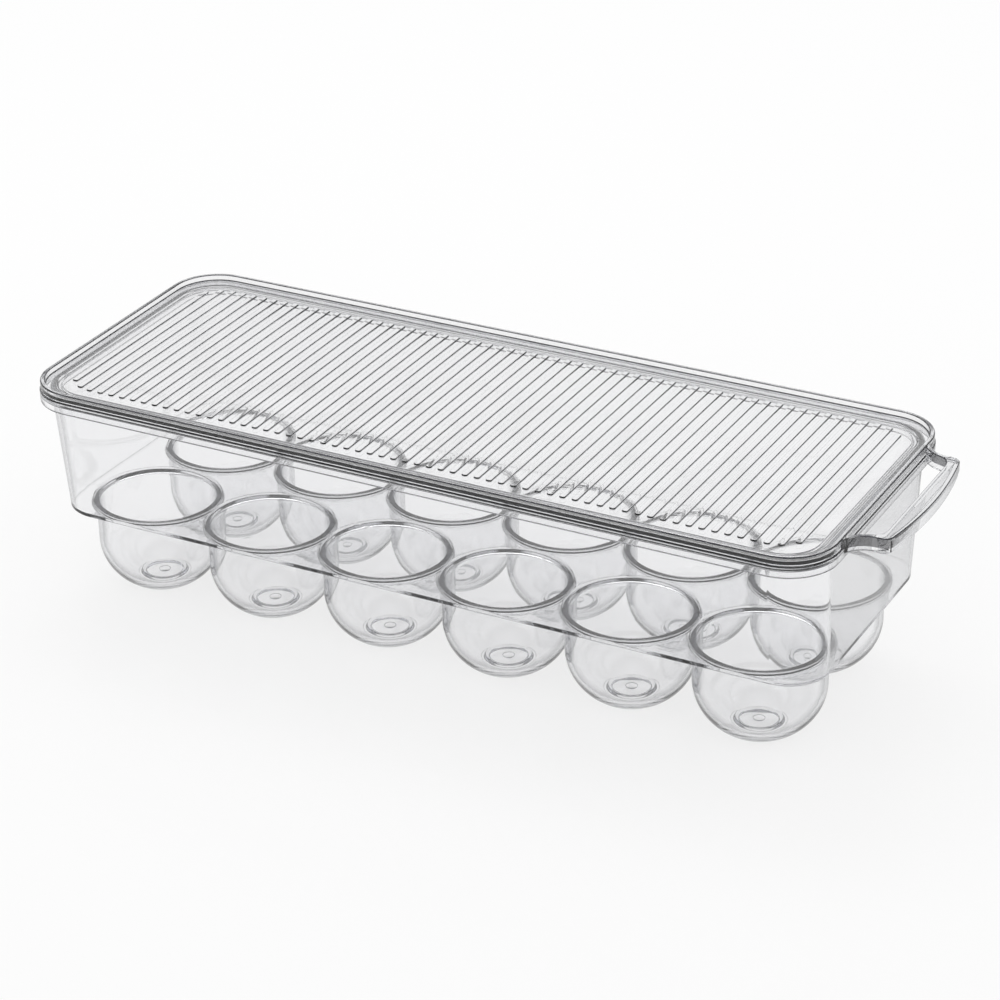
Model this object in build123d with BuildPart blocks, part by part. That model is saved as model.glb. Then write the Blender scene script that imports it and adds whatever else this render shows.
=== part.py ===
from build123d import *
from math import acos, cos, sin
import os

# Clear twelve-egg refrigerator tray with a ribbed lift-off lid and a carrying handle at one end.
# Millimetres, +Z up, standing on the feet of the egg cups at Z = 0, handle towards +X.
# The tray is one moulding, kept here as the bodies it is made of; the lid is the second moulding.

# layout of the egg cups
columns = 6
rows = 2
column_gap = 0.4
row_gap = 2.4

# egg cup
cup_height = 35.6
bowl_radius = 24.0
bowl_straight = 5.0
cup_wall = 1.5
foot_radius = 8.085732
floor_level = 2.8
floor_radius = 7.918388
mouth_flare = 2.0
mouth_land = 0.3
foot_recess_depth = 1.2
foot_land = 1.6
foot_fillet = 0.8
gate_radius = 2.2
gate_height = 0.5
curve_steps = 5

# deck that joins the cups
deck_thickness = 2.0
deck_margin_end = 5.6
deck_margin_side = 1.6
deck_corner = 16.0
deck_edge = 1.4

# drafted walls
wall_height = 48.2
wall_thickness = 1.9
end_draft = 0.8
side_draft = 5.8
wall_top_corner = 17.0

# rim: flange with a turned-down skirt
rim_overhang_end = 3.4
rim_overhang_side = 4.0
rim_corner = 19.0
flange_thickness = 2.2
skirt_drop = 2.5
skirt_wall = 1.5
rim_edge = 0.7

# lid
lid_inset = 0.4
lid_edge_height = 3.3
lip_width = 1.8
lip_height = 2.2
lip_edge = 0.6
panel_thickness = 2.0
locating_clearance = 0.6
locating_wall = 1.4
locating_drop = 4.0

# anti-slip ribs on the lid
rib_count = 62
rib_width = 2.4
rib_height = 0.75
rib_margin_end = 11.2
rib_margin_side = 10.8
rib_field_corner = 12.0
rib_end_space = 2.21
rib_end_fillet = 0.9

# carrying handle
handle_height = 5.9
handle_wall = 1.8
handle_edge = 0.5
grip_reach = 17.4
grip_bow = 3.4
grip_width = 6.6
grip_plate = 1.8
arm_root_margin = 2.6
arm_narrowing = 6.6
arm_hollow = 0.910949
ear_length = 4.6
ear_fillet = 3.6
finger_round = 6.0
step_height = 2.0
step_depth = 0.4

# derived positions
deck_top = cup_height
deck_bottom = deck_top - deck_thickness
wall_top = deck_top + wall_height
skirt_bottom = wall_top - skirt_drop
flange_top = wall_top + flange_thickness
lid_top = flange_top + lid_edge_height
panel_top = lid_top - lip_height
panel_bottom = panel_top - panel_thickness
locating_bottom = flange_top - locating_drop
handle_bottom = lid_top - handle_height
inner_radius = bowl_radius - cup_wall
ring_radius = inner_radius + mouth_flare + mouth_land
cup_pitch = 2 * ring_radius + column_gap
row_pitch = 2 * ring_radius + row_gap
deck_half_length = (columns - 1) / 2 * cup_pitch + ring_radius + deck_margin_end
deck_half_width = (rows - 1) / 2 * row_pitch + ring_radius + deck_margin_side
wall_top_half_length = deck_half_length + end_draft
wall_top_half_width = deck_half_width + side_draft
rim_half_length = wall_top_half_length + rim_overhang_end
rim_half_width = wall_top_half_width + rim_overhang_side
opening_half_length = wall_top_half_length - wall_thickness
opening_half_width = wall_top_half_width - wall_thickness
opening_corner = wall_top_corner - wall_thickness
lid_half_length = rim_half_length - lid_inset
lid_half_width = rim_half_width - lid_inset
lid_corner = rim_corner - lid_inset
rib_field_half_length = lid_half_length - rib_margin_end
rib_field_half_width = lid_half_width - rib_margin_side
rib_pitch = 2 * (rib_field_half_length - rib_end_space) / (rib_count - 1)
arm_root_half_width = rim_half_width - rim_corner - arm_root_margin
ear_half_width = arm_root_half_width - arm_narrowing
arm_reach = grip_reach - grip_bow - ear_length

# the middle of the cups lies off the middle of the whole, because the handle is on one end only
centre_x = -grip_reach / 2
tray_plane = Plane(origin=(centre_x, 0, 0))


# one egg cup: a deep bowl with a flared mouth, a flat foot and a recess under it
bowl_centre = cup_height - bowl_straight
gate_bottom = foot_recess_depth - gate_height


def bowl_curve(radius, flat_radius, bottom):
    lowest = acos(flat_radius / radius)
    depth = (bowl_centre - bottom) / sin(lowest)
    points = []
    for step in range(curve_steps + 1):
        angle = lowest * (1 - step / curve_steps)
        points.append((radius * cos(angle), bowl_centre - depth * sin(angle)))
    return points


with BuildPart() as egg_cup:
    with BuildSketch(Plane.XZ) as cup_profile:
        with BuildLine():
            outside = Spline(bowl_curve(bowl_radius, foot_radius, 0))
            inside = Spline(bowl_curve(inner_radius, floor_radius, floor_level))
            recess_radius = foot_radius - foot_land
            Polyline(
                outside @ 1,
                (bowl_radius, deck_bottom),
                (ring_radius, deck_bottom),
                (ring_radius, cup_height),
                (inner_radius, cup_height),
                inside @ 1,
            )
            Polyline(
                inside @ 0,
                (0, floor_level),
                (0, gate_bottom),
                (gate_radius, gate_bottom),
                (gate_radius, foot_recess_depth),
                (recess_radius, foot_recess_depth),
                (recess_radius, 0),
                outside @ 0,
            )
        make_face()
        fillet(cup_profile.vertices().group_by(Axis.Y)[-1].sort_by(Axis.X)[0], mouth_flare)
        fillet(cup_profile.vertices().group_by(Axis.Y)[0].sort_by(Axis.X)[-1], foot_fillet)
    revolve(axis=Axis.Z)

# deck: the plate between the cups, rounded into the walls along its lower edge
with BuildPart() as tray_deck:
    with BuildSketch(tray_plane.offset(deck_bottom)):
        RectangleRounded(2 * deck_half_length, 2 * deck_half_width, deck_corner)
    extrude(amount=deck_thickness)
    fillet(tray_deck.edges().group_by(Axis.Z)[0], deck_edge)
    with BuildSketch(tray_plane.offset(deck_bottom)):
        with GridLocations(cup_pitch, row_pitch, columns, rows):
            Circle(ring_radius)
    extrude(amount=deck_thickness, mode=Mode.SUBTRACT)

# walls: nearly upright at the ends and drafted outwards along the sides
with BuildPart() as tray_wall:
    with BuildSketch(tray_plane.offset(deck_top)):
        RectangleRounded(2 * deck_half_length, 2 * deck_half_width, deck_corner)
    with BuildSketch(tray_plane.offset(wall_top)):
        RectangleRounded(2 * wall_top_half_length, 2 * wall_top_half_width, wall_top_corner)
    loft()
    with BuildSketch(tray_plane.offset(deck_top)):
        RectangleRounded(
            2 * (deck_half_length - wall_thickness),
            2 * (deck_half_width - wall_thickness),
            deck_corner - wall_thickness,
        )
    with BuildSketch(tray_plane.offset(wall_top)):
        RectangleRounded(2 * opening_half_length, 2 * opening_half_width, opening_corner)
    loft(mode=Mode.SUBTRACT)

# rim: the flange the lid rests on, with its skirt
with BuildPart() as tray_rim:
    with BuildSketch(tray_plane.offset(skirt_bottom)):
        RectangleRounded(2 * rim_half_length, 2 * rim_half_width, rim_corner)
    extrude(amount=flange_top - skirt_bottom)
    fillet(tray_rim.edges().group_by(Axis.Z)[-1], rim_edge)
    with BuildSketch(tray_plane.offset(skirt_bottom)):
        RectangleRounded(
            2 * (rim_half_length - skirt_wall),
            2 * (rim_half_width - skirt_wall),
            rim_corner - skirt_wall,
        )
    extrude(amount=skirt_drop, mode=Mode.SUBTRACT)
    with BuildSketch(tray_plane.offset(wall_top)):
        RectangleRounded(2 * opening_half_length, 2 * opening_half_width, opening_corner)
    extrude(amount=flange_thickness, mode=Mode.SUBTRACT)

# handle: two arms that sweep in from the rim to a bowed grip that is hollow underneath
rim_end = rim_half_length
grip_end = rim_end + grip_reach
ear_x = grip_end - grip_bow
grip_inside = grip_end - grip_width
root_x = rim_end - 2 * finger_round
step_top = handle_bottom + step_height
grip_half = (Align.MIN, Align.CENTER)
with BuildSketch(tray_plane.offset(step_top)) as handle_outline:
    with BuildLine():
        ThreePointArc((ear_x, -ear_half_width), (grip_end, 0), (ear_x, ear_half_width))
        for side in (-1, 1):
            arm_end = (rim_end + arm_reach, side * ear_half_width)
            arm_root = (rim_end, side * arm_root_half_width)
            Line((ear_x, side * ear_half_width), arm_end)
            SagittaArc(arm_end, arm_root, side * arm_hollow)
            Line(arm_root, (root_x, side * (arm_root_half_width + 2 * finger_round)))
        Line(
            (root_x, -arm_root_half_width - 2 * finger_round),
            (root_x, arm_root_half_width + 2 * finger_round),
        )
    make_face()
    fillet(handle_outline.vertices().group_by(Axis.X)[-1], ear_fillet)

with BuildSketch(tray_plane.offset(handle_bottom)) as finger_gap:
    add(handle_outline.sketch_local)
    offset(amount=-handle_wall, mode=Mode.REPLACE)
    with Locations((root_x, 0)):
        Rectangle(grip_inside - root_x, 4 * ear_half_width, align=grip_half, mode=Mode.INTERSECT)
    offset(amount=-finger_round, mode=Mode.REPLACE)
    offset(amount=finger_round, mode=Mode.REPLACE)

with BuildSketch(tray_plane.offset(handle_bottom)) as grip_pocket:
    add(handle_outline.sketch_local)
    offset(amount=-handle_wall, mode=Mode.REPLACE)
    with Locations((grip_inside + handle_wall, 0)):
        Rectangle(grip_width, 2 * ear_half_width, align=grip_half, mode=Mode.INTERSECT)

with BuildSketch(tray_plane.offset(handle_bottom)) as handle_step:
    add(handle_outline.sketch_local)
    offset(amount=-step_depth, mode=Mode.REPLACE)

with BuildPart() as carry_handle:
    extrude(handle_outline.sketch, amount=handle_height - step_height)
    fillet(carry_handle.edges().group_by(Axis.Z)[-1], handle_edge)
    extrude(handle_step.sketch, amount=step_height)
    extrude(finger_gap.sketch, amount=handle_height, mode=Mode.SUBTRACT)
    extrude(grip_pocket.sketch, amount=handle_height - grip_plate, mode=Mode.SUBTRACT)
    split(bisect_by=Plane.YZ.offset(centre_x + rim_end), keep=Keep.TOP)

# lid: a plate with a raised lip round it and rows of ribs in the recess; the ribs nearest
# the ends are shorter, because they stop on the rounded corners of the ribbed field
straight_half_length = rib_field_half_length - rib_field_corner
straight_half_width = rib_field_half_width - rib_field_corner
with BuildPart() as lid_panel:
    with BuildSketch(tray_plane.offset(flange_top)):
        RectangleRounded(2 * lid_half_length, 2 * lid_half_width, lid_corner)
    extrude(amount=lid_edge_height)
    fillet(lid_panel.edges().group_by(Axis.Z)[-1], lip_edge)
    fillet(lid_panel.edges().group_by(Axis.Z)[0], lip_edge)
    with BuildSketch(tray_plane.offset(panel_top)):
        RectangleRounded(
            2 * (lid_half_length - lip_width),
            2 * (lid_half_width - lip_width),
            lid_corner - lip_width,
        )
    extrude(amount=lip_height, mode=Mode.SUBTRACT)
    with BuildSketch(tray_plane.offset(panel_top)):
        for number in range(rib_count):
            rib_x = (number - (rib_count - 1) / 2) * rib_pitch
            past_corner = max(0, abs(rib_x) - straight_half_length)
            rib_half = straight_half_width + (rib_field_corner**2 - past_corner**2) ** 0.5
            with Locations((rib_x, 0)):
                RectangleRounded(rib_width, 2 * rib_half, rib_end_fillet)
    extrude(amount=rib_height)

# under the lid: the thicker middle of the panel and the wall that locates it in the tray
with BuildPart() as lid_locating_wall:
    with BuildSketch(tray_plane.offset(locating_bottom)):
        RectangleRounded(
            2 * (opening_half_length - locating_clearance),
            2 * (opening_half_width - locating_clearance),
            opening_corner - locating_clearance,
        )
    extrude(amount=locating_drop)
    with BuildSketch(tray_plane.offset(locating_bottom)):
        RectangleRounded(
            2 * (opening_half_length - locating_clearance - locating_wall),
            2 * (opening_half_width - locating_clearance - locating_wall),
            opening_corner - locating_clearance - locating_wall,
        )
    extrude(amount=panel_bottom - locating_bottom, mode=Mode.SUBTRACT)

os.makedirs("parts", exist_ok=True)
bodies = {
    "tray_deck": tray_deck,
    "tray_wall": tray_wall,
    "tray_rim": tray_rim,
    "carry_handle": carry_handle,
    "lid_panel": lid_panel,
    "lid_locating_wall": lid_locating_wall,
}
for name, body in bodies.items():
    body.part.label = name
    export_step(body.part, f"parts/{name}.step")

for row, side in enumerate(("front", "back")):
    for column in range(columns):
        x = centre_x + (column - (columns - 1) / 2) * cup_pitch
        y = (row - (rows - 1) / 2) * row_pitch
        cup = egg_cup.part.moved(Location((x, y, 0)))
        cup.label = f"egg_cup_{side}_{column + 1}"
        export_step(cup, f"parts/{cup.label}.step")
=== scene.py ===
import math

import bmesh
import bpy
from mathutils import Matrix, Vector


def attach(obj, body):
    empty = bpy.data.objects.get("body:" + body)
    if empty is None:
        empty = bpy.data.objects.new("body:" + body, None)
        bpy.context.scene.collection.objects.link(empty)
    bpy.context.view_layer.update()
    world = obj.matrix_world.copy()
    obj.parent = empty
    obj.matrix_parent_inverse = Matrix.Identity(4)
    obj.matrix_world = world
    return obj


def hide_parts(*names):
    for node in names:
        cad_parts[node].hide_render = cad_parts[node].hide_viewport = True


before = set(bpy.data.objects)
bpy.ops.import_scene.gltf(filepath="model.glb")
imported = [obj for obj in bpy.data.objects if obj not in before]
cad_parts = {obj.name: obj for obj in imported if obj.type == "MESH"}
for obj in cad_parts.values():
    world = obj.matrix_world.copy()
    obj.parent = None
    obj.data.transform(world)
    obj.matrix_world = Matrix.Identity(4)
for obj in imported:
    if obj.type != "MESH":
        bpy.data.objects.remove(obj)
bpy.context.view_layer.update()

scene = bpy.context.scene
print("frame loaded")

# pieces are drawn in millimetres round the cups' middle, then brought into place
common = {
    "middle": -8.7,  # the cups' middle along X
    "metresPerMillimetre": 0.001,
    "weld": 0.001,
    "cornerSteps": 12,
    "softSteps": 4,
    "sharpAngle": 50,
    "paintedLineRange": (0.75, 1.4),  # painted dark lines: turn in radians per millimetre for none of the line's colour, all of it
}


def softCorners(points, steps):
    # the last number of a point is its corner's radius; a corner with one becomes a short arc
    stations = []
    for index, (*spot, radius) in enumerate(points):
        here = Vector(spot)
        if not radius:
            stations.append(here)
            continue
        back = Vector(points[index - 1][:-1]) - here
        on = Vector(points[index + 1][:-1]) - here
        backRun, onRun = math.hypot(back[-2], back[-1]), math.hypot(on[-2], on[-1])
        level = -(back[-2] * on[-2] + back[-1] * on[-1]) / (backRun * onRun)
        halfTurn = math.acos(max(-1, min(1, level))) / 2
        reach = radius * math.tan(halfTurn)
        first, last = here + back * reach / backRun, here + on * reach / onRun
        pull = 2 * math.cos(halfTurn)
        for step in range(steps + 1):
            a, b = 1 - step / steps, step / steps
            share = a * a + pull * a * b + b * b
            stations.append((first * a * a + here * pull * a * b + last * b * b) / share)
    return stations


def roundedRing(bm, halfLength, corner, halfWidth, height, steps, x=0.0):
    # a closed loop of edges: a rectangle with its corners bevelled round
    signs = ((1, 1), (-1, 1), (-1, -1), (1, -1))
    spots = [bm.verts.new((x + sx * halfLength, sy * halfWidth, height)) for sx, sy in signs]
    bm.faces.new(spots)
    made = bmesh.ops.bevel(
        bm, geom=spots, offset=corner, segments=steps, profile=0.5, affect="VERTICES", material=-1
    )
    face = made["verts"][0].link_faces[0]
    edges = list(face.edges)
    bmesh.ops.delete(bm, geom=[face], context="FACES_ONLY")
    return edges


def loftRings(bm, rings):
    for one, other in zip(rings, rings[1:]):
        bmesh.ops.bridge_loops(bm, edges=one + other)
    return rings[0], rings[-1]


def openEdges(bm, height):
    # the free edges left at one height, ready for a flat face with holes
    return [e for e in bm.edges if e.is_boundary and all(abs(v.co.z - height) < 1e-4 for v in e.verts)]


def flatFill(bm, edges):
    bmesh.ops.triangle_fill(bm, use_beauty=True, use_dissolve=False, edges=edges, normal=(0, 0, 1))


def pieceFrom(bm, name, material):
    bmesh.ops.remove_doubles(bm, verts=bm.verts[:], dist=common["weld"])
    bmesh.ops.recalc_face_normals(bm, faces=bm.faces[:])
    bmesh.ops.translate(bm, verts=bm.verts[:], vec=(common["middle"], 0, 0))
    bmesh.ops.scale(bm, verts=bm.verts[:], vec=[common["metresPerMillimetre"]] * 3)
    for face in bm.faces:
        face.smooth = True
    mesh = bpy.data.meshes.new(name)
    bm.to_mesh(mesh)
    bm.free()
    mesh.materials.append(material)
    piece = bpy.data.objects.new(name, mesh)
    scene.collection.objects.link(piece)
    return piece


def paintEdgeShade(piece):
    # painted shade: an attribute for the material, 1 on the small rounded edges and 0 on broad faces, that
    # paints dark lines there
    bm = bmesh.new()
    bm.from_mesh(piece.data)
    paintedShade = bm.faces.layers.float.new("paintedShade")
    centres = [face.calc_center_median() for face in bm.faces]
    low, high = common["paintedLineRange"]
    for face in bm.faces:
        turns = [0.0, 0.0]
        for edge in face.edges:
            if len(edge.link_faces) == 2:
                one, other = edge.link_faces
                gap = (centres[one.index] - centres[other.index]).length
                turns.append(edge.calc_face_angle(0) / max(gap, 1e-6))
        second = sorted(turns)[-2] * common["metresPerMillimetre"]
        face[paintedShade] = max(0.0, min(1.0, (second - low) / (high - low)))
    bm.to_mesh(piece.data)
    bm.free()


def evenShading(piece):
    # big flat faces keep their own normal and the small rounded ones lean to them
    piece.data.set_sharp_from_angle(angle=math.radians(common["sharpAngle"]))
    weighted = piece.modifiers.new("evenShading", "WEIGHTED_NORMAL")
    weighted.mode = "FACE_AREA"
    weighted.keep_sharp = True


# clear plastic


def newGroup(name, inputs, outputs):
    group = bpy.data.node_groups.new(name, "ShaderNodeTree")
    for label, kind, value in inputs:
        socket = group.interface.new_socket(name=label, in_out="INPUT", socket_type=kind)
        socket.default_value = value
    for label, kind in outputs:
        group.interface.new_socket(name=label, in_out="OUTPUT", socket_type=kind)
    start, end = group.nodes.new("NodeGroupInput"), group.nodes.new("NodeGroupOutput")
    return group, start, end


def mathNode(tree, operation, first, second):
    node = tree.nodes.new("ShaderNodeMath")
    node.operation = operation
    for socket, value in zip(node.inputs, (first, second)):
        if isinstance(value, (int, float)):
            socket.default_value = value
        else:
            tree.links.new(value, socket)
    return node.outputs[0]


def noiseNode(tree, vector, scale, detail, roughness=0.5):
    node = tree.nodes.new("ShaderNodeTexNoise")
    node.inputs["Detail"].default_value = detail
    node.inputs["Roughness"].default_value = roughness
    tree.links.new(vector, node.inputs["Vector"])
    if isinstance(scale, (int, float)):
        node.inputs["Scale"].default_value = scale
    else:
        tree.links.new(scale, node.inputs["Scale"])
    return node.outputs["Fac"]


def rangeNode(tree, value, fromLow, fromHigh, toLow, toHigh):
    node = tree.nodes.new("ShaderNodeMapRange")
    tree.links.new(value, node.inputs["Value"])
    limits = {"From Min": fromLow, "From Max": fromHigh, "To Min": toLow, "To Max": toHigh}
    for label, number in limits.items():
        node.inputs[label].default_value = number
    return node.outputs["Result"]


# how the melt settled in the mould: slow waves in the surface, faint haze and a few hair scratches
flowLook = {
    "waves": 30.0,
    "waveDetail": 1.0,
    "haze": 55.0,
    "hazeDetail": 4.0,
    "hazeRoughness": 0.6,
    "hairStretch": (14.0, 900.0, 300.0),
    "hairTurn": (0.2, 0.1, 0.5),
    "hairDetail": 2.0,
    "hairRange": (0.70, 0.76),
    "hairDepth": 0.01,
}
flow, flowIn, flowOut = newGroup(
    "mouldFlow",
    [("Waves", "NodeSocketFloat", flowLook["waves"]), ("Scratches", "NodeSocketFloat", 1.0)],
    [("Haze", "NodeSocketFloat"), ("Tint", "NodeSocketFloat"), ("Relief", "NodeSocketFloat")],
)
place = flow.nodes.new("ShaderNodeTexCoord").outputs["Object"]
slow = noiseNode(flow, place, flowIn.outputs["Waves"], flowLook["waveDetail"])
haze = noiseNode(flow, place, flowLook["haze"], flowLook["hazeDetail"], flowLook["hazeRoughness"])
stretched = flow.nodes.new("ShaderNodeMapping")
stretched.inputs["Scale"].default_value = flowLook["hairStretch"]
stretched.inputs["Rotation"].default_value = flowLook["hairTurn"]
flow.links.new(place, stretched.inputs["Vector"])
hairs = noiseNode(flow, stretched.outputs["Vector"], 1.0, flowLook["hairDetail"])
hairs = rangeNode(flow, hairs, *flowLook["hairRange"], 0.0, 1.0)
hairs = mathNode(flow, "MULTIPLY", hairs, flowIn.outputs["Scratches"])
scored = mathNode(flow, "ADD", slow, mathNode(flow, "MULTIPLY", hairs, flowLook["hairDepth"]))
flow.links.new(haze, flowOut.inputs["Haze"])
flow.links.new(slow, flowOut.inputs["Tint"])
flow.links.new(scored, flowOut.inputs["Relief"])


def clearPlastic(name, look):
    material = bpy.data.materials.new(name)
    material.use_nodes = True
    tree = material.node_tree
    shader = tree.nodes["Principled BSDF"]
    shader.inputs["Transmission Weight"].default_value = 1.0
    shader.inputs["IOR"].default_value = look["ior"]
    effect = tree.nodes.new("ShaderNodeGroup")
    effect.node_tree = flow
    effect.inputs["Waves"].default_value = look["waves"]
    effect.inputs["Scratches"].default_value = look["scratches"]
    tint = tree.nodes.new("ShaderNodeValToRGB")
    tint.color_ramp.elements[0].color = look["thin"]
    tint.color_ramp.elements[1].color = look["thick"]
    tree.links.new(effect.outputs["Tint"], tint.inputs["Fac"])
    # painted shade: the base colour darkens where the surface turns away from view, standing in for grazing
    # reflections and long paths through the plastic
    turned = tree.nodes.new("ShaderNodeLayerWeight")
    turned.inputs["Blend"].default_value = look["paintedGrazeBlend"]
    edge = tree.nodes.new("ShaderNodeMix")
    edge.data_type = "RGBA"
    edge.inputs["B"].default_value = look["paintedGrazeColour"]
    away = rangeNode(tree, turned.outputs["Facing"], *look["paintedGrazeRange"], 0.0, 1.0)
    tree.links.new(away, edge.inputs["Factor"])
    tree.links.new(tint.outputs["Color"], edge.inputs["A"])
    # painted shade: dark lines painted on rounded edges and on the arms' outer sides, read from the face
    # attribute
    paintedShade = tree.nodes.new("ShaderNodeAttribute")
    paintedShade.attribute_name = "paintedShade"
    line = tree.nodes.new("ShaderNodeMix")
    line.data_type = "RGBA"
    line.inputs["B"].default_value = look["paintedShadeColour"]
    tree.links.new(paintedShade.outputs["Fac"], line.inputs["Factor"])
    tree.links.new(edge.outputs["Result"], line.inputs["A"])
    tree.links.new(line.outputs["Result"], shader.inputs["Base Color"])
    roughness = rangeNode(tree, effect.outputs["Haze"], *look["hazeRange"], *look["roughness"])
    tree.links.new(roughness, shader.inputs["Roughness"])
    bump = tree.nodes.new("ShaderNodeBump")
    bump.inputs["Strength"].default_value = look["relief"]
    bump.inputs["Distance"].default_value = look["reliefDepth"]
    tree.links.new(effect.outputs["Relief"], bump.inputs["Height"])
    tree.links.new(bump.outputs["Normal"], shader.inputs["Normal"])
    absorb = tree.nodes.new("ShaderNodeVolumeAbsorption")
    absorb.inputs["Color"].default_value = look["depthColour"]
    absorb.inputs["Density"].default_value = look["depth"]
    tree.links.new(absorb.outputs["Volume"], tree.nodes["Material Output"].inputs["Volume"])
    return material


plasticLook = {
    "ior": 1.57,
    "waves": 28.0,
    "scratches": 1.0,
    "thin": (0.995, 0.995, 0.998, 1),
    "thick": (0.97, 0.971, 0.976, 1),
    # painted shade: how the base colour is darkened at grazing angles
    "paintedGrazeBlend": 0.5,
    "paintedGrazeRange": (0.56, 0.9),
    "paintedGrazeColour": (0.1, 0.105, 0.12, 1),
    # painted shade: colour of the dark lines on rounded edges and the arms' outer sides
    "paintedShadeColour": (0.005, 0.005, 0.008, 1),
    "hazeRange": (0.35, 0.75),
    "roughness": (0.012, 0.03),
    "relief": 0.25,
    "reliefDepth": 0.001,
    "depthColour": (0.45, 0.46, 0.49, 1),
    "depth": 42.0,
}
trayPlastic = clearPlastic("trayPlastic", plasticLook)
lidPlastic = clearPlastic("lidPlastic", {**plasticLook, "waves": 20.0, "depth": 20.0})
print("plastic ready")

# tray: cups, deck, walls and rim in one moulding

eggCup = {
    "columns": 6,
    "rows": 2,
    "columnPitch": 50.0,
    "rowPitch": 52.0,
    "radius": 24.1,
    "wall": 1.5,
    "curveTop": 19.1,  # below this height the bowl curves in
    "ringTop": 36.4,
    "ringWidth": 2.2,
    "ringRounds": (0.12, 0.3, 0.38),  # at the deck, the outer edge and the mouth
    "underRound": 1.7,
    "deckReach": 5.0,  # how far both profiles start out on the deck, only for their first corner
    "footRadius": 11.5,
    "footRound": 2.0,
    "footLand": 4.1,
    "recess": 1.7,
    "recessRound": 0.3,
    "floor": 1.6,
    "floorRadius": 10.4,
    "floorRound": 0.8,
    "plateau": 3.1,
    "plateauRadius": 8.8,
    "plateauSlope": 0.5,
    "plateauRounds": (0.4, 0.5),
    "gateRadius": 2.2,
    "gateDrop": 0.5,
    "gateRound": 0.15,
    "around": 64,
    "down": 14,
    "softSteps": 3,
}
tray = {
    "deckTop": 35.6,
    "deckBottom": 34.2,
    # half length, corner, half width, height, softness, from under the deck out over the rim and in again
    "section": [
        (150.0, 11.0, 47.0, 34.2, 0),
        (155.4, 16.0, 52.4, 34.2, 0.7),
        (155.4, 16.0, 52.4, 35.6, 4.0),
        (156.2, 17.0, 58.2, 83.8, 0.5),
        (158.1, 17.5, 60.7, 83.8, 0.4),
        (158.1, 17.5, 60.7, 81.3, 0.3),
        (159.6, 19.0, 62.2, 81.3, 0.4),
        (159.6, 19.0, 62.2, 85.95, 0.7),
        (154.3, 15.1, 56.3, 85.95, 0.5),
        (154.0, 14.6, 51.1, 35.6, 0.12),
        (150.0, 11.0, 47.0, 35.6, 0),
    ],
}


def bowlCurve(radius, flatRadius, lowest):
    # quarter-ellipse points from the straight part down to a flat of the given radius
    sweep = math.acos(flatRadius / radius)
    depth = (eggCup["curveTop"] - lowest) / math.sin(sweep)
    turns = [sweep * step / eggCup["down"] for step in range(eggCup["down"] + 1)]
    return [(radius * math.cos(t), eggCup["curveTop"] - depth * math.sin(t), 0) for t in turns]


def cupProfiles():
    c = eggCup
    inner, recessRadius = c["radius"] - c["wall"], c["footRadius"] - c["footLand"]
    ringRadius = inner + c["ringWidth"]
    atDeck, atEdge, atMouth = c["ringRounds"]
    outside = [
        (c["radius"] + c["deckReach"], tray["deckBottom"], 0),
        (c["radius"], tray["deckBottom"], c["underRound"]),
        *bowlCurve(c["radius"], c["footRadius"], 0)[:-1],
        (c["footRadius"], 0, c["footRound"]),
        (recessRadius, 0, c["recessRound"]),
        (recessRadius, c["recess"], c["recessRound"]),
        (c["gateRadius"], c["recess"], c["gateRound"]),
        (c["gateRadius"], c["recess"] - c["gateDrop"], c["gateRound"]),
        (0, c["recess"] - c["gateDrop"], 0),
    ]
    inside = [
        (ringRadius + c["deckReach"], tray["deckTop"], 0),
        (ringRadius, tray["deckTop"], atDeck),
        (ringRadius, c["ringTop"], atEdge),
        (inner, c["ringTop"], atMouth),
        *bowlCurve(inner, c["floorRadius"], c["floor"])[:-1],
        (c["floorRadius"], c["floor"], c["floorRound"]),
        (c["plateauRadius"] + c["plateauSlope"], c["floor"], c["plateauRounds"][0]),
        (c["plateauRadius"], c["plateau"], c["plateauRounds"][1]),
        (0, c["plateau"], 0),
    ]
    return [softCorners(side, c["softSteps"])[1:] for side in (outside, inside)]


def oneCup():
    # both skins of a cup, turned round its own axis
    cup = bmesh.new()
    for profile in cupProfiles():
        spots = [cup.verts.new((radius, 0, height)) for radius, height in profile]
        chain = spots + [cup.edges.new(pair) for pair in zip(spots, spots[1:])]
        steps = eggCup["around"]
        bmesh.ops.spin(cup, geom=chain, axis=(0, 0, 1), angle=2 * math.pi, steps=steps, use_merge=True)
    bmesh.ops.remove_doubles(cup, verts=cup.verts[:], dist=common["weld"])
    mesh = bpy.data.meshes.new("cup")
    cup.to_mesh(mesh)
    cup.free()
    return mesh


def addCups(bm):
    c, cup = eggCup, oneCup()
    for row in range(c["rows"]):
        for column in range(c["columns"]):
            x = (column - (c["columns"] - 1) / 2) * c["columnPitch"]
            y = (row - (c["rows"] - 1) / 2) * c["rowPitch"]
            cup.transform(Matrix.Translation((x, y, 0)))
            bm.from_mesh(cup)
            cup.transform(Matrix.Translation((-x, -y, 0)))
    bpy.data.meshes.remove(cup)


trayMesh = bmesh.new()
addCups(trayMesh)
stations = softCorners(tray["section"], common["softSteps"])[1:-1]
loftRings(trayMesh, [roundedRing(trayMesh, *s, common["cornerSteps"]) for s in stations])
flatFill(trayMesh, openEdges(trayMesh, tray["deckBottom"]))
flatFill(trayMesh, openEdges(trayMesh, tray["deckTop"]))
trayShell = pieceFrom(trayMesh, "trayShell", trayPlastic)
print("tray shell", len(trayShell.data.polygons))

# carrying handle, joined to the rim

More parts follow.
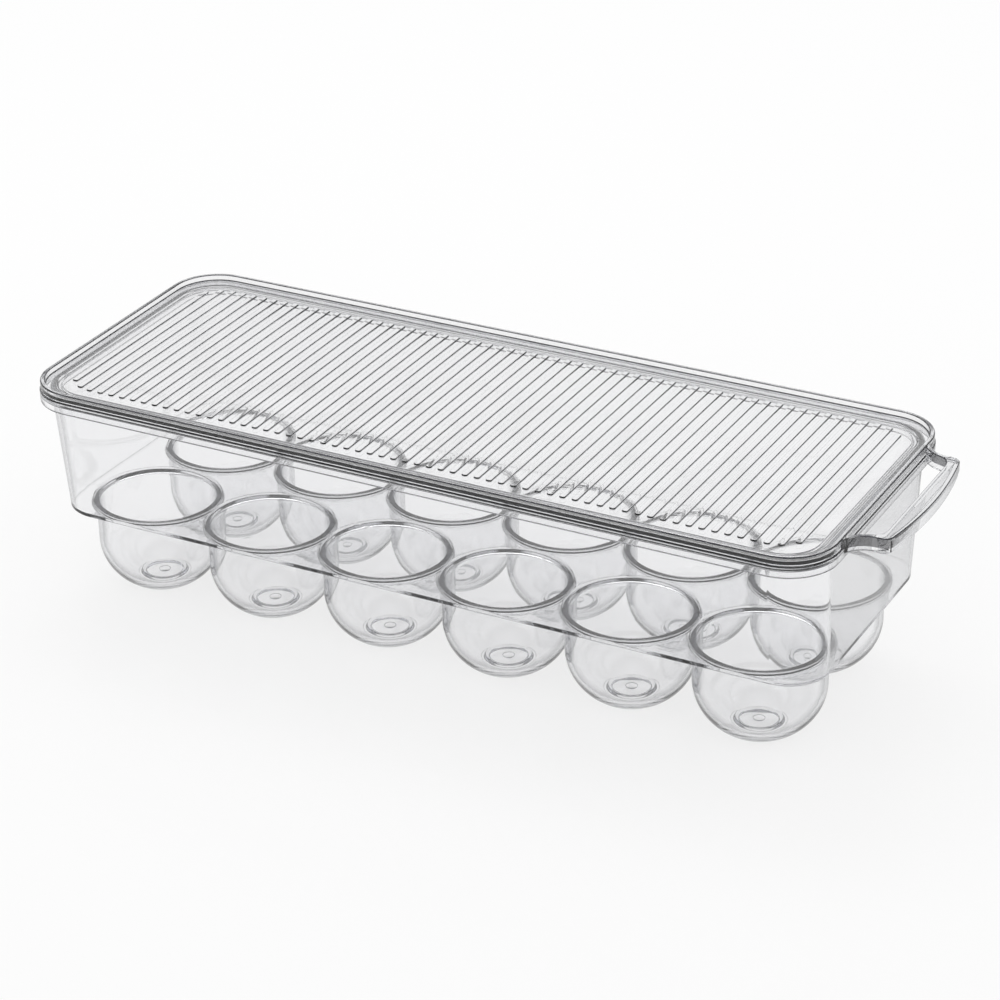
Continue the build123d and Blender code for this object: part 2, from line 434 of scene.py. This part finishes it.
handle = {
    "root": 159.35,  # where the arms sink into the rim
    "armCentre": (169.0, 44.0),
    "armOuter": 10.0,
    "armWall": 1.8,
    "earCentre": (170.63, 30.4),
    "earRadius": 3.6,
    "bowCentre": 5.3,
    "bowRadius": 171.7,
    "gripInside": 170.4,
    "fingerRound": 6.0,
    "pocketWall": 1.8,
    "pocketTop": 87.5,
    "pocketSoft": (0.1, 0.3),
    "bowSteps": 10,
    "earSteps": 8,
    "armSteps": 12,
    "cornerSteps": 8,
    "pocketSteps": 4,
    # the arms' painted dark reflection: where it begins and is full across Y, the height it starts at, and
    # its strength
    "shadeSpan": (16.0, 34.0),
    "shadeAbove": 85.4,
    "shade": 0.94,
    "uprightBelow": 0.3,
    # inner inset, outer inset, height, softness
    "section": [
        (2.0, 2.0, 89.25, 0),
        (0.0, 0.0, 89.25, 0.5),
        (0.0, 0.0, 85.4, 0.15),
        (0.0, 0.4, 85.4, 0.15),
        (0.0, 0.4, 83.4, 0.3),
        (2.0, 2.4, 83.4, 0),
    ],
}


def arcPoints(centre, radius, start, end, steps):
    turns = [math.radians(start + (end - start) * step / steps) for step in range(steps + 1)]
    return [(centre[0] + radius * math.cos(t), centre[1] + radius * math.sin(t)) for t in turns]


def ringThrough(bm, half, height):
    # a closed loop from one half of an outline and its mirror image across Y
    spots = [bm.verts.new((x, y, height)) for x, y in half]
    spots += [bm.verts.new((x, -y, height)) for x, y in reversed(half) if abs(y) > 1e-6]
    return [bm.edges.new((a, b)) for a, b in zip(spots, spots[1:] + spots[:1])]


def bowTurn():
    # how far round its own arc the bow of the grip runs before the ear takes over
    return math.degrees(math.atan2(handle["earCentre"][1], handle["earCentre"][0] - handle["bowCentre"]))


def handleHalf(inner, outer):
    h = handle
    arm, armInside = h["armOuter"] + outer, h["armOuter"] + h["armWall"] - inner
    fingers = h["fingerRound"] + inner
    drop = h["armCentre"][0] - h["root"]
    armEnd, insideStart = (180 + math.degrees(math.acos(drop / radius)) for radius in (arm, armInside))
    # the finger gap's corner touches both the arm's curve and the straight inside of the grip
    cornerX = h["gripInside"] - h["fingerRound"]
    cornerReach = h["armOuter"] + h["armWall"] + h["fingerRound"]
    cornerY = h["armCentre"][1] - math.sqrt(cornerReach**2 - (h["armCentre"][0] - cornerX) ** 2)
    touch = math.degrees(math.atan2(h["armCentre"][1] - cornerY, h["armCentre"][0] - cornerX))
    return [
        *arcPoints((h["bowCentre"], 0), h["bowRadius"] - outer, 0, bowTurn(), h["bowSteps"])[:-1],
        *arcPoints(h["earCentre"], h["earRadius"] - outer, bowTurn(), 90, h["earSteps"]),
        *arcPoints(h["armCentre"], arm, 270, armEnd, h["armSteps"]),
        *arcPoints(h["armCentre"], armInside, insideStart, 180 + touch, h["cornerSteps"])[:-1],
        *arcPoints((cornerX, cornerY), fingers, touch, 0, h["cornerSteps"]),
        (h["gripInside"] + inner, 0),
    ]


def pocketHalf(inset):
    h = handle
    wall = h["pocketWall"] + inset
    left = h["gripInside"] + wall
    earRadius = h["earRadius"] - wall
    last = math.degrees(math.acos((left - h["earCentre"][0]) / earRadius))
    return [
        *arcPoints((h["bowCentre"], 0), h["bowRadius"] - wall, 0, bowTurn(), h["bowSteps"])[:-1],
        *arcPoints(h["earCentre"], earRadius, bowTurn(), last, h["pocketSteps"]),
        (left, 0),
    ]


def shadeArms(piece):
    # painted reflection: the outer sides of the arms and ears are painted dark where they would mirror the
    # dark part of the room
    bm = bmesh.new()
    bm.from_mesh(piece.data)
    paintedShade = bm.faces.layers.float["paintedShade"]
    near, full = handle["shadeSpan"]
    for face in bm.faces:
        x, y, z = face.calc_center_median() / common["metresPerMillimetre"]
        upright, outward = abs(face.normal.z) < handle["uprightBelow"], face.normal.y * y > 0
        if upright and outward and x > common["middle"] + handle["root"] and z > handle["shadeAbove"]:
            share = max(0.0, min(1.0, (abs(y) - near) / (full - near)))
            face[paintedShade] = max(face[paintedShade], handle["shade"] * share)
    bm.to_mesh(piece.data)
    bm.free()


handleMesh = bmesh.new()
stations = softCorners(handle["section"], common["softSteps"])[1:-1]
top, bottom = loftRings(handleMesh, [ringThrough(handleMesh, handleHalf(*s[:2]), s[2]) for s in stations])
bmesh.ops.edgeloop_fill(handleMesh, edges=top)
softInset, softDrop = handle["pocketSoft"]
pocket = [(0, stations[-1][2]), (0, handle["pocketTop"] - softDrop), (softInset, handle["pocketTop"])]
mouth, ceiling = loftRings(handleMesh, [ringThrough(handleMesh, pocketHalf(i), z) for i, z in pocket])
bmesh.ops.edgeloop_fill(handleMesh, edges=ceiling)
flatFill(handleMesh, bottom + mouth)
pullHandle = pieceFrom(handleMesh, "pullHandle", trayPlastic)

join = trayShell.modifiers.new("join", "BOOLEAN")
join.operation, join.solver, join.object = "UNION", "EXACT", pullHandle
bpy.context.view_layer.update()
whole = bpy.data.meshes.new_from_object(trayShell.evaluated_get(bpy.context.evaluated_depsgraph_get()))
trayShell.modifiers.clear()
trayShell.data = whole
bpy.data.objects.remove(pullHandle)
paintEdgeShade(trayShell)
shadeArms(trayShell)
evenShading(trayShell)
print("handle joined", len(trayShell.data.polygons))

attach(trayShell, "tray")
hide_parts(*[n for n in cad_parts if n.startswith(("tray_", "egg_cup_")) or n == "carry_handle"])

# lid: ribbed plate with a lip round it and a locating wall under it

lid = {
    "panelTop": 87.1,
    # half length, corner, half width, height, softness, from the recess over the lip and down
    "section": [
        (150.0, 9.4, 52.6, 87.1, 0),
        (157.4, 16.8, 60.0, 87.1, 0.5),
        (157.4, 16.8, 60.0, 89.3, 0.4),
        (159.2, 18.6, 61.8, 89.3, 0.6),
        (159.2, 18.6, 61.8, 86.15, 0.6),
        (153.7, 14.5, 55.7, 86.15, 0.4),
        (153.7, 14.5, 55.7, 82.0, 0.4),
        (152.3, 13.1, 54.3, 82.0, 0.4),
        (152.3, 13.1, 54.3, 85.1, 0.6),
        (145.0, 6.0, 47.0, 85.1, 0),
    ],
    "ribCount": 62,
    "ribPitch": 4.78,
    "ribWidth": 2.4,
    "ribHeight": 0.55,
    "ribSoft": 0.3,
    "ribEnd": 0.9,
    "ribCrown": 0.6,
    "ribSteps": 3,
    "fieldHalfLength": 148.0,
    "fieldHalfWidth": 51.0,
    "fieldCorner": 12.0,
}



def addRib(bm, x):
    # ribs near the ends stop short on the field's round corners
    corner, half, end = lid["fieldCorner"], lid["ribWidth"] / 2, lid["ribEnd"]
    pastCorner = max(0, abs(x) - lid["fieldHalfLength"] + corner)
    reach = lid["fieldHalfWidth"] - corner + math.sqrt(corner**2 - pastCorner**2)
    low, high, crownInset = lid["panelTop"], lid["panelTop"] + lid["ribHeight"], lid["ribCrown"]
    section = [
        (half, end, reach, low, 0),
        (half, end, reach, high, lid["ribSoft"]),
        (half - crownInset, end - crownInset, reach - crownInset, high, 0),
    ]
    steps = lid["ribSteps"]
    crown = loftRings(bm, [roundedRing(bm, *s, steps, x) for s in softCorners(section, steps)[:-1]])[1]
    bmesh.ops.edgeloop_fill(bm, edges=crown)


lidMesh = bmesh.new()
stations = softCorners(lid["section"], common["softSteps"])[1:-1]
underside = loftRings(lidMesh, [roundedRing(lidMesh, *s, common["cornerSteps"]) for s in stations])[1]
for number in range(lid["ribCount"]):
    addRib(lidMesh, (number - (lid["ribCount"] - 1) / 2) * lid["ribPitch"])
flatFill(lidMesh, openEdges(lidMesh, lid["panelTop"]))
bmesh.ops.edgeloop_fill(lidMesh, edges=underside)
lidPlate = pieceFrom(lidMesh, "lidPlate", lidPlastic)
paintEdgeShade(lidPlate)
evenShading(lidPlate)
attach(lidPlate, "lid")
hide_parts("lid_panel", "lid_locating_wall")
print("lid", len(lidPlate.data.polygons))

# studio

studio = {
    "floorSize": 8.0,
    "floorDrop": 0.0002,
    "floorColour": (0.95, 0.95, 0.95, 1),
    "floorRoughness": 0.2,
    "floorSpecular": 0.4,
    "white": 0.983,
    "fill": 0.9,
    "floorGlow": 0.8,
    "roomTurn": 28.0,
    # share of the way from straight down to straight up, and how bright it is there
    "backdrop": [(0.0, 0.97), (0.78, 0.97), (0.80, 0.08), (1.0, 0.08)],
    "room": [
        (0.0, 0.9), (0.5, 0.9), (0.505, 0.04), (0.6, 0.04), (0.63, 1.0), (0.9, 1.0), (0.93, 0.1), (1.0, 0.1),
    ],
    # how far a direction points to the backdrop, and its share there
    "backdropRange": (0.1, 0.35),
    "lampSize": (0.7, 0.5),
    "lampEnergy": 3.0,
    "lampPlace": (-0.35, 0.45, 1.1),
}

floorMesh = bmesh.new()
bmesh.ops.create_grid(floorMesh, x_segments=1, y_segments=1, size=studio["floorSize"] / 2)
sheet = bpy.data.meshes.new("floor")
floorMesh.to_mesh(sheet)
floorMesh.free()
floor = bpy.data.objects.new("floor", sheet)
scene.collection.objects.link(floor)
floor.location.z = -studio["floorDrop"]

# the floor is mostly its own white where it is seen, so that it keeps only a light shadow
paper = bpy.data.materials.new("floorGloss")
paper.use_nodes = True
tree = paper.node_tree
paperShader = tree.nodes["Principled BSDF"]
paperShader.inputs["Base Color"].default_value = studio["floorColour"]
paperShader.inputs["Roughness"].default_value = studio["floorRoughness"]
paperShader.inputs["Specular IOR Level"].default_value = studio["floorSpecular"]
glow = tree.nodes.new("ShaderNodeEmission")
glow.inputs["Color"].default_value = (studio["white"], studio["white"], studio["white"], 1)
path = tree.nodes.new("ShaderNodeLightPath").outputs
bounced = mathNode(tree, "MAXIMUM", path["Is Glossy Ray"], path["Is Transmission Ray"])
seen = mathNode(tree, "MAXIMUM", path["Is Camera Ray"], bounced)
both = tree.nodes.new("ShaderNodeMixShader")
tree.links.new(mathNode(tree, "MULTIPLY", seen, studio["floorGlow"]), both.inputs["Fac"])
tree.links.new(paperShader.outputs["BSDF"], both.inputs[1])
tree.links.new(glow.outputs["Emission"], both.inputs[2])
tree.links.new(both.outputs["Shader"], tree.nodes["Material Output"].inputs["Surface"])
sheet.materials.append(paper)

world = bpy.data.worlds.new("studio")
scene.world = world
world.use_nodes = True
tree = world.node_tree
tree.nodes.clear()
path = tree.nodes.new("ShaderNodeLightPath").outputs
turn = tree.nodes.new("ShaderNodeMapping")
turn.inputs["Rotation"].default_value = (0, 0, math.radians(-studio["roomTurn"]))
tree.links.new(tree.nodes.new("ShaderNodeTexCoord").outputs["Generated"], turn.inputs["Vector"])
way = tree.nodes.new("ShaderNodeSeparateXYZ")
tree.links.new(turn.outputs["Vector"], way.inputs["Vector"])


def zoneRamp(stopList):
    ramp = tree.nodes.new("ShaderNodeValToRGB")
    tree.links.new(rangeNode(tree, way.outputs["Z"], -1.0, 1.0, 0.0, 1.0), ramp.inputs["Fac"])
    stops = ramp.color_ramp.elements
    for position, grey in stopList:
        stops.new(position).color = (grey, grey, grey, 1)
    stops.remove(stops[0])
    stops.remove(stops[len(stops) - 1])
    return ramp.outputs["Color"]


# what the plastic sees: a pale backdrop behind, a dark room to the sides and lamps above the camera
room = tree.nodes.new("ShaderNodeMix")
room.data_type = "RGBA"
behind = rangeNode(tree, way.outputs["Y"], *studio["backdropRange"], 0.0, 1.0)
tree.links.new(behind, room.inputs["Factor"])
tree.links.new(zoneRamp(studio["room"]), room.inputs["A"])
tree.links.new(zoneRamp(studio["backdrop"]), room.inputs["B"])
# open ground and diffuse light are plain white
level = tree.nodes.new("ShaderNodeMix")
level.data_type = "RGBA"
level.inputs["A"].default_value = (studio["fill"], studio["fill"], studio["fill"], 1)
bounced = mathNode(tree, "MAXIMUM", path["Is Glossy Ray"], path["Is Transmission Ray"])
tree.links.new(bounced, level.inputs["Factor"])
tree.links.new(room.outputs["Result"], level.inputs["B"])
plain = tree.nodes.new("ShaderNodeMix")
plain.data_type = "RGBA"
plain.inputs["B"].default_value = (studio["white"], studio["white"], studio["white"], 1)
tree.links.new(path["Is Camera Ray"], plain.inputs["Factor"])
tree.links.new(level.outputs["Result"], plain.inputs["A"])
background = tree.nodes.new("ShaderNodeBackground")
tree.links.new(plain.outputs["Result"], background.inputs["Color"])
tree.links.new(background.outputs["Background"], tree.nodes.new("ShaderNodeOutputWorld").inputs["Surface"])

lampData = bpy.data.lights.new("softbox", "AREA")
lampData.shape = "RECTANGLE"
lampData.size, lampData.size_y = studio["lampSize"]
lampData.energy = studio["lampEnergy"]
lamp = bpy.data.objects.new("softbox", lampData)
scene.collection.objects.link(lamp)
lamp.location = studio["lampPlace"]
lamp.rotation_euler = (-Vector(studio["lampPlace"])).to_track_quat("-Z", "Y").to_euler()

view = {
    "lens": 114.9,
    "sensor": 36.0,
    "farEnd": 50.0,
    "place": (0.49281, -0.92239, 0.59099),
    "turn": (62.6938, 0.8189, 27.7011),
    "bounces": {
        "max_bounces": 32,
        "transmission_bounces": 32,
        "glossy_bounces": 12,
        "transparent_max_bounces": 16,
    },
}
cameraData = bpy.data.cameras.new("camera")
cameraData.lens, cameraData.sensor_width, cameraData.clip_end = view["lens"], view["sensor"], view["farEnd"]
camera = bpy.data.objects.new("camera", cameraData)
scene.collection.objects.link(camera)
camera.location = view["place"]
camera.rotation_euler = [math.radians(degrees) for degrees in view["turn"]]
scene.camera = camera

scene.view_settings.view_transform = "Standard"
# a ray crosses many clear walls before it leaves the tray
for kind, count in view["bounces"].items():
    setattr(scene.cycles, kind, count)
print("studio ready")
